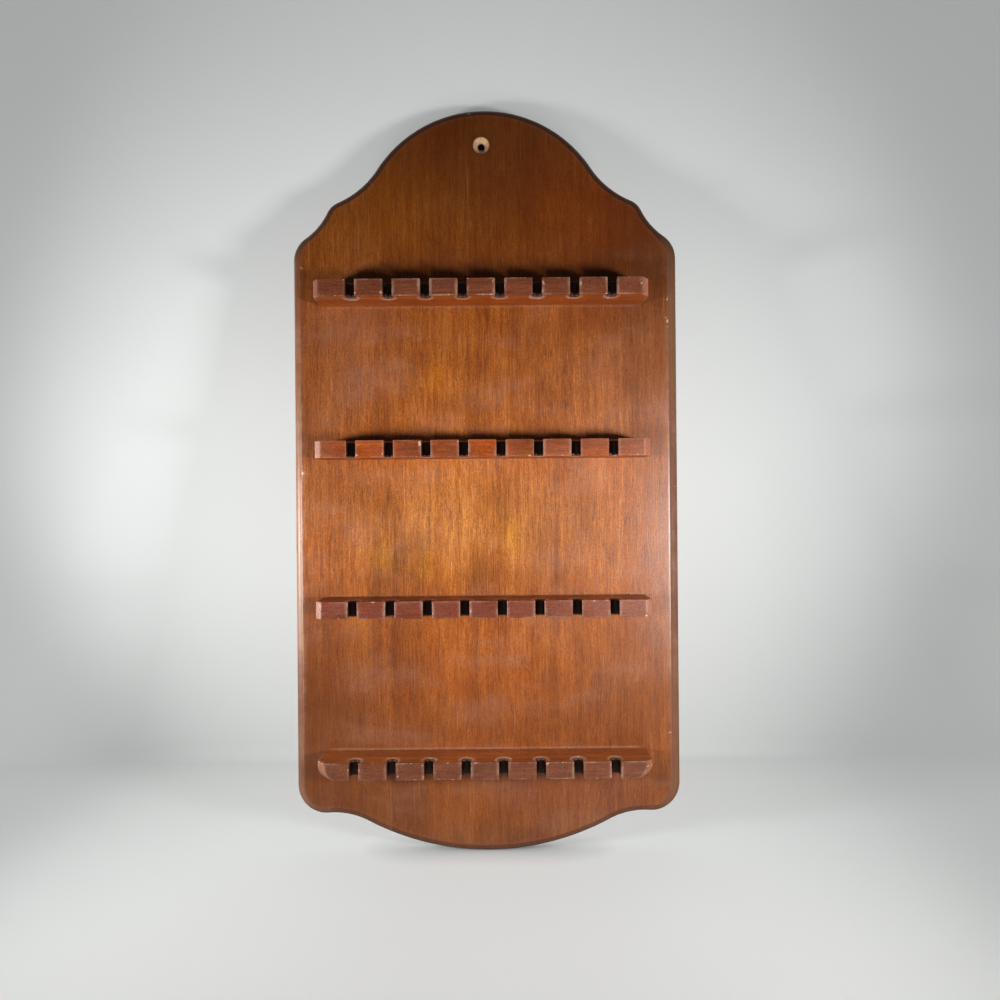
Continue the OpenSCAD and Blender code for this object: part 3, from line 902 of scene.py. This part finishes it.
# %% Wear and varnish the board
SEAM_HIGHLIGHT, SCRATCH, SMUDGE = (0.48, 0.27, 0.17), (0.42, 0.20, 0.10), (0.055, 0.016, 0.005)
BARE_LIGHT, BARE_DARK, BORE_SHADE = (0.80, 0.50, 0.27), (0.45, 0.19, 0.07), (0.006, 0.004, 0.003)
SCRATCH_TURN = (0.0, 38.0, 0.0)
# Each pale line beside a rail, old varnish with a painted highlight, is its height and how much
# it shows
SEAMS = [(-0.1177, 0.25), (-0.3274, 0.25), (-0.4391, 0.50)]

beside = board.times(board.step(from_middle, 0.116, 0.108), front)
# Pale lines of old varnish beside the rails, their paleness a painted highlight.
for seam_z, share in SEAMS:
    off = board.math("ABSOLUTE", board.math("SUBTRACT", z, seam_z))
    seam_highlight = board.times(board.step(off, 0.0013, 0.0003, 0.0, share),
                       board.step(speckle, 0.35, 0.65, 0.2, 1.0))
    stain_and_painted_light = board.mix(board.times(seam_highlight, beside), stain_and_painted_light, SEAM_HIGHLIGHT)
scratch_place = board.stretch(board.place, (1.0, 1.0, 0.016), turn=SCRATCH_TURN)
scratches = board.step(board.noise(scratch_place, 800.0, 1.0), 0.70, 0.78, 0.0, 0.35)
stain_and_painted_light = board.mix(scratches, stain_and_painted_light, SCRATCH)
stain_and_painted_light = wear_layers(board, stain_and_painted_light, board.step(mid_height, 0.0, 0.7, 0.12, 0.70))
smudge = board.times(board.spot((0.0, 0.0), (0.013, 0.013)), board.step(speckle, 0.4, 0.6, 0.2, 0.8))
stain_and_painted_light = board.mix(smudge, stain_and_painted_light, SMUDGE)
fuzz = board.noise(board.stretch(board.place, (1.0, 1.0, 0.25)), 900.0, 3.0, 0.7)
bare = board.mix(board.step(fuzz, 0.45, 0.7, 0.0, 0.6), BARE_LIGHT, BARE_DARK)
stain_and_painted_light = board.mix(board.mark("raw"), stain_and_painted_light, bare)
# The bore of the hanging hole is painted near black as shade.
bored = board.mark("bored")
stain_and_painted_light = board.mix(bored, stain_and_painted_light, BORE_SHADE)
shine = board.times(board.step(z, -0.20, -0.05, 0.5, 0.25), board.step(right_side, 0.0, 1.0, 1.0, 0.1))
board.set("Base Color", stain_and_painted_light)
board.set("Specular IOR Level", board.step(bored, 0.0, 1.0, shine, 0.0))
board.set("Roughness", board.step(haze_cloud, 0.3, 0.8, 0.36, 0.54))
board.set("Coat Weight", board.step(right_side, 0.0, 1.0, 0.12, 0.0))
board.set("Coat Roughness", 0.36)
board.bump(board.math("SUBTRACT", fibres, pores), 0.28, 0.0003)
print("board nodes", len(board.tree.nodes))

# %% [markdown]
# ## The rails' stain
# The rails are darker than the board, each in its own way: the second is the most orange, the
# third the most purple. One function mixes them all from a table of looks. The slots are painted
# nearly black inside as shade, the countersinks are rubbed pale with a painted highlight on their
# rims, the chamfered ends are rubbed pale, and the upper, lower and end faces have another tint
# than the front.

# %% Give the rails their own tones
TONE_STOPS = (0.36, 0.50, 0.62)
RAIL_AMBER, DULL = (1.50, 1.36, 0.55), (0.32, 0.125, 0.080)
RAIL_HAZE, RUBBED_FACET = (0.46, 0.205, 0.130), (0.68, 0.40, 0.32)
SINK_RUB_AND_HIGHLIGHT, SLOT_SHADE = (0.48, 0.28, 0.19), (0.020, 0.009, 0.006)
# A look is three tones of stain, a seed, shares of amber, dullness and haze, the left and right
# chamfer's paleness, what the other faces' stain is multiplied by, and the edges' wear and nicks
RAIL_LOOKS = {
    "top_rail": dict(
        tones=[(0.1, 0.022, 0.007), (0.172, 0.04, 0.013), (0.27, 0.072, 0.028)], seed=0.31,
        amber=0.15, dull=0.18, haze=0.0, facets=(0.22, 0.22),
        sides=(1.8, 1.55, 0.45), rub=0.9, nicks=0.18),
    "upper_rail": dict(
        tones=[(0.13, 0.023, 0.002), (0.255, 0.048, 0.004), (0.38, 0.09, 0.01)], seed=0.62,
        amber=0.85, dull=0.06, haze=0.25, facets=(0.8, 0.15),
        sides=(1.3, 1.22, 0.73), rub=0.6, nicks=0.165),
    "lower_rail": dict(
        tones=[(0.105, 0.019, 0.007), (0.185, 0.036, 0.013), (0.27, 0.06, 0.025)], seed=0.93,
        amber=0.2, dull=0.18, haze=0.35, facets=(0.9, 0.35),
        sides=(1.36, 1.22, 0.45), rub=0.6, nicks=0.165),
    "bottom_rail": dict(
        tones=[(0.09, 0.022, 0.009), (0.168, 0.046, 0.018), (0.27, 0.078, 0.03)], seed=1.24,
        amber=0.3, dull=0.25, haze=0.0, facets=(0.15, 0.15),
        sides=(2.05, 1.98, 1.0), rub=0.9, nicks=0.18),
}


def rail_finish(node, look):
    finish = Finish(node + "_stain")
    tones = list(zip(TONE_STOPS, look["tones"]))
    stain_and_painted_light, pores, fibres = wood_layers(finish, 0, tones, look["seed"])
    x, y = finish.axes(finish.place)[:2]
    front = finish.step(y, -0.0362, -0.0376)
    cloud_place = finish.stretch(finish.place, (1.0, 1.0, 1.0), shift=(look["seed"] * 5, 0, 0))
    amber = finish.step(finish.noise(cloud_place, 22.0), 0.45, 0.62, 0.05, look["amber"])
    stain_and_painted_light = finish.mix(finish.times(amber, front), stain_and_painted_light, RAIL_AMBER, "MULTIPLY")
    stain_and_painted_light = finish.mix(finish.math("SUBTRACT", 1.0, front), stain_and_painted_light, look["sides"], "MULTIPLY")
    speckle = finish.noise(finish.place, 900.0, 3.0, 0.7)
    dull = finish.times(front, finish.step(speckle, 0.4, 0.66, 0.0, look["dull"]))
    stain_and_painted_light = finish.mix(dull, stain_and_painted_light, DULL)
    haze = finish.times(front, finish.step(x, 0.0, 0.115, 0.0, look["haze"]))
    haze = finish.times(haze, finish.step(speckle, 0.34, 0.66, 0.3, 1.0))
    stain_and_painted_light = finish.mix(haze, stain_and_painted_light, RAIL_HAZE)
    pale = finish.step(speckle, 0.36, 0.62, 0.25, 1.0)
    facet = finish.times(finish.mark("facet"), finish.step(x, -0.05, 0.05, *look["facets"]))
    stain_and_painted_light = finish.mix(finish.times(facet, pale), stain_and_painted_light, RUBBED_FACET)
    # The countersink rims are rubbed pale and carry a painted highlight.
    sunk = finish.times(finish.mark("sink"), 0.65)
    stain_and_painted_light = finish.mix(finish.times(sunk, pale), stain_and_painted_light, SINK_RUB_AND_HIGHLIGHT)
    # Painted shade inside the slots, nearly black.
    stain_and_painted_light = finish.mix(finish.times(finish.mark("inside"), 0.9), stain_and_painted_light, SLOT_SHADE)
    finish.set("Base Color", wear_layers(finish, stain_and_painted_light, look["rub"]))
    gloss = finish.noise(finish.place, 60.0, 3.0)
    finish.set("Roughness", finish.step(gloss, 0.3, 0.7, 0.38, 0.56))
    finish.set("Coat Weight", 0.15)
    finish.set("Coat Roughness", 0.3)
    finish.bump(finish.math("SUBTRACT", fibres, pores), 0.25, 0.0003)
    return finish.material


rail_materials = {node: rail_finish(node, look) for node, look in RAIL_LOOKS.items()}
print("rail finishes", list(rail_materials))

# %% Nick the edges and fit the pieces to the solids
BOARD_SEED, FIRST_RAIL_SEED = 3.0, 10.0

run_tree(backboard, worn_edges, {"Nick depth": 0.0006, "Nicks per metre": 110.0, "Nick share": 0.13,
                                 "Seed": BOARD_SEED, "Finish": board.material})
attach(backboard, "root")
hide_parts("backboard")
for i, (piece, node) in enumerate(zip(rails, RAIL_NODES)):
    run_tree(piece, worn_edges, {"Nick depth": 0.0005, "Nicks per metre": 240.0,
                                 "Nick share": RAIL_LOOKS[node]["nicks"], "Seed": FIRST_RAIL_SEED + i,
                                 "Finish": rail_materials[node]})
    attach(piece, "root")
    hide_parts(node)
print("wood pieces", [backboard.name] + [piece.name for piece in rails])

# %% [markdown]
# ## The screws
# Two flat-head wood screws hold each rail from behind. Only their slotted heads show, a hair
# below the back of the board, but the whole screw is made, thread and all. They repeat, so a
# Geometry Nodes tree builds one from a head, a shank, a point and a spiral thread, cuts the
# driver slot, and puts a copy at each end of the rail.

# %% The finish of the screws
STEEL_DARK, STEEL_LIGHT, RUST = (0.34, 0.33, 0.31), (0.56, 0.55, 0.52), (0.20, 0.13, 0.08)

steel = Finish("dulled_steel")
brushed = steel.noise(steel.stretch(steel.place, (0.15, 1.0, 1.0)), 2600.0, 2.0)
spots = steel.noise(steel.place, 700.0, 3.0)
metal = steel.mix(brushed, STEEL_DARK, STEEL_LIGHT)
steel.set("Base Color", steel.mix(steel.step(spots, 0.55, 0.75, 0.0, 0.7), metal, RUST))
steel.set("Metallic", 1.0)
steel.set("Roughness", steel.step(spots, 0.35, 0.75, 0.34, 0.62))
steel.bump(brushed, 0.15, 0.0001)
print("steel nodes", len(steel.tree.nodes))

# %% The tree that makes and places screws
wood_screws, given = new_tree("wood_screws", {
    "Row height": 0.0, "First across": 0.0, "Spacing": 0.1, "Head depth": 0.0003, "Head radius": 0.0035,
    "Shank radius": 0.00145, "Length": 0.0297, "Point length": 0.005, "Thread turns": 13.0})
# The shank and the point each start this far inside the piece before them
LAP = 0.0003
DRIVER_SLOT = (0.009, 0.001, 0.002)
TIP_R, POINT_EASE, RIDGE_R = 0.0001, 0.00002, 0.00028
HEAD_POINTS, SHANK_POINTS, TURN_POINTS, RIDGE_POINTS = 40, 24, 16, 4
THREADED = 0.7


def sum_of(a, b, way="ADD"):
    return number(wood_screws, way, a, b)


def vector_of(x=0.0, y=0.0, z=0.0):
    return add_node(wood_screws, "ShaderNodeCombineXYZ", {0: x, 1: y, 2: z}).outputs[0]


def shape_of(kind, feeds, **settings):
    return add_node(wood_screws, "GeometryNode" + kind, feeds, **settings).outputs[0]


def moved_by(geometry, offset, turn=(0.0, 0.0, 0.0)):
    return shape_of("Transform", {"Geometry": geometry, "Translation": offset, "Rotation": turn})


shank_r = given["Shank radius"]
head_height = sum_of(given["Head radius"], shank_r, "SUBTRACT")
below_head = sum_of(given["Length"], head_height, "SUBTRACT")
shank_length = sum_of(below_head, given["Point length"], "SUBTRACT")
head = shape_of("MeshCone", {"Vertices": HEAD_POINTS, "Radius Top": shank_r,
                             "Radius Bottom": given["Head radius"], "Depth": head_height})
cutter = shape_of("MeshCube", {"Size": DRIVER_SLOT})
slotted = shape_of("MeshBoolean", {"Mesh 1": head, "Mesh 2": cutter}, operation="DIFFERENCE")
shank_middle = sum_of(sum_of(shank_length, LAP, "SUBTRACT"), 0.5, "MULTIPLY")
shank = shape_of("MeshCylinder", {"Vertices": SHANK_POINTS, "Radius": shank_r,
                                  "Depth": sum_of(shank_length, LAP)})
shank = moved_by(shank, vector_of(z=sum_of(head_height, shank_middle)))
point_start = sum_of(sum_of(head_height, shank_length), LAP, "SUBTRACT")
point = shape_of("MeshCone", {"Vertices": SHANK_POINTS, "Radius Top": TIP_R,
                              "Radius Bottom": sum_of(shank_r, POINT_EASE, "SUBTRACT"),
                              "Depth": sum_of(given["Point length"], LAP)})
point = moved_by(point, vector_of(z=point_start))
spiral = shape_of("CurveSpiral", {
    "Resolution": TURN_POINTS, "Rotations": given["Thread turns"], "Start Radius": shank_r,
    "End Radius": shank_r, "Height": sum_of(shank_length, THREADED, "MULTIPLY")})
ridge = shape_of("CurvePrimitiveCircle", {"Resolution": RIDGE_POINTS, "Radius": RIDGE_R})
thread = shape_of("CurveToMesh", {"Curve": spiral, "Profile Curve": ridge, "Fill Caps": True})
thread_start = sum_of(head_height, sum_of(shank_length, 1 - THREADED, "MULTIPLY"))
thread = moved_by(thread, vector_of(z=thread_start))
whole = wood_screws.nodes.new("GeometryNodeJoinGeometry")
for part in (slotted, shank, point, thread):
    wood_screws.links.new(part, whole.inputs[0])
turned = moved_by(whole.outputs[0], vector_of(y=sum_of(given["Head depth"], -1.0, "MULTIPLY")),
                  (math.radians(90), 0.0, 0.0))
seats = shape_of("MeshLine", {
    "Count": 2, "Start Location": vector_of(x=given["First across"], z=given["Row height"]),
    "Offset": vector_of(x=given["Spacing"])})
placed = shape_of("InstanceOnPoints", {"Points": seats, "Instance": turned})
end_tree(wood_screws, placed, given["Finish"])
print("nodes in wood_screws", len(wood_screws.nodes))

# %% Drive the screws
for node, row_z in zip(RAIL_NODES, RAIL_Z):
    piece = bpy.data.objects.new(f"rack_{node}_screws", bpy.data.meshes.new(node))
    scene.collection.objects.link(piece)
    run_tree(piece, wood_screws, {"Row height": row_z * MM, "First across": SCREW_X[0] * MM,
                                  "Spacing": (SCREW_X[1] - SCREW_X[0]) * MM, "Finish": steel.material})
    piece.data.shade_smooth()
    piece.data.set_sharp_from_angle(angle=math.radians(30))
    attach(piece, "root")
    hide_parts(node + "_screws")
    print(piece.name, "faces", len(piece.data.polygons))
